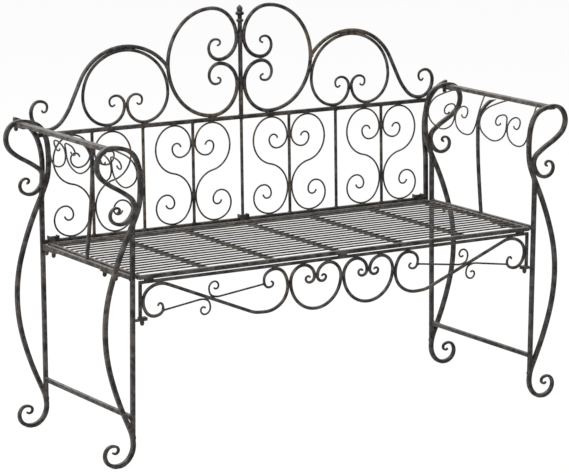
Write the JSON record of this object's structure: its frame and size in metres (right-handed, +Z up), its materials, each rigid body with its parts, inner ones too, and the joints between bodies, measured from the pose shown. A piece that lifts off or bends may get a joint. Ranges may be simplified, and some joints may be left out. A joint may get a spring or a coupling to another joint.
{
  "type": "wrought iron garden bench",
  "caption": "Free-standing wrought iron garden bench with a slatted rod seat, scrolled side frames and arms, a scroll-panelled back and a heart and arch crest.",
  "frame": {"origin": "on the floor, under the middle of the bench's outer box", "axes": "+X across the bench to its right side as seen from the front, +Y to the back, +Z up"},
  "size_m": [1.357, 0.4868, 0.9931],
  "materials": {
    "frame_paint": "satin charcoal brown paint, rubbed lighter on the upper faces",
    "scroll_paint": "satin charcoal brown paint with rubbed bronze highlights",
    "seat_paint": "satin charcoal brown paint, a little worn",
    "fastener_paint": "dark painted steel"
  },
  "bodies": {
    "root": {"apron_foot_plates": "fastener_paint", "apron_spacers": "fastener_paint", "apron_tabs": "fastener_paint", "apron_top_bar": "scroll_paint", "back_bottom_rail": "frame_paint", "back_clips": "fastener_paint", "back_scroll_pair_1": "scroll_paint", "back_scroll_pair_2": "scroll_paint", "back_scroll_pair_3": "scroll_paint", "back_scroll_pair_4": "scroll_paint", "back_tabs": "fastener_paint", "back_top_rail": "frame_paint", "back_uprights": "frame_paint", "cap_nuts": "fastener_paint", "crest_finial": "scroll_paint", "crest_post": "scroll_paint", "left_apron_centre_scroll": "scroll_paint", "left_apron_end_bar": "scroll_paint", "left_apron_rods": "scroll_paint", "left_apron_side_scroll": "scroll_paint", "left_arm_rib": "frame_paint", "left_arm_scrolls": "scroll_paint", "left_armrest": "frame_paint", "left_back_post": "frame_paint", "left_crest_arch": "scroll_paint", "left_crest_heart": "scroll_paint", "left_crest_ring": "scroll_paint", "left_foot_stretcher": "frame_paint", "left_front_leg": "frame_paint", "left_front_post": "frame_paint", "left_rear_leg": "frame_paint", "left_rear_post": "frame_paint", "left_seat_end_rail": "seat_paint", "left_side_rail": "frame_paint", "right_apron_centre_scroll": "scroll_paint", "right_apron_end_bar": "scroll_paint", "right_apron_rods": "scroll_paint", "right_apron_side_scroll": "scroll_paint", "right_arm_rib": "frame_paint", "right_arm_scrolls": "scroll_paint", "right_armrest": "frame_paint", "right_back_post": "frame_paint", "right_crest_arch": "scroll_paint", "right_crest_heart": "scroll_paint", "right_crest_ring": "scroll_paint", "right_foot_stretcher": "frame_paint", "right_front_leg": "frame_paint", "right_front_post": "frame_paint", "right_rear_leg": "frame_paint", "right_rear_post": "frame_paint", "right_seat_end_rail": "seat_paint", "right_side_rail": "frame_paint", "seat_brackets": "fastener_paint", "seat_cross_bars": "seat_paint", "seat_front_rail": "seat_paint", "seat_rear_rail": "seat_paint", "seat_rods": "seat_paint", "studs": "fastener_paint"}
  },
  "joints": []
}
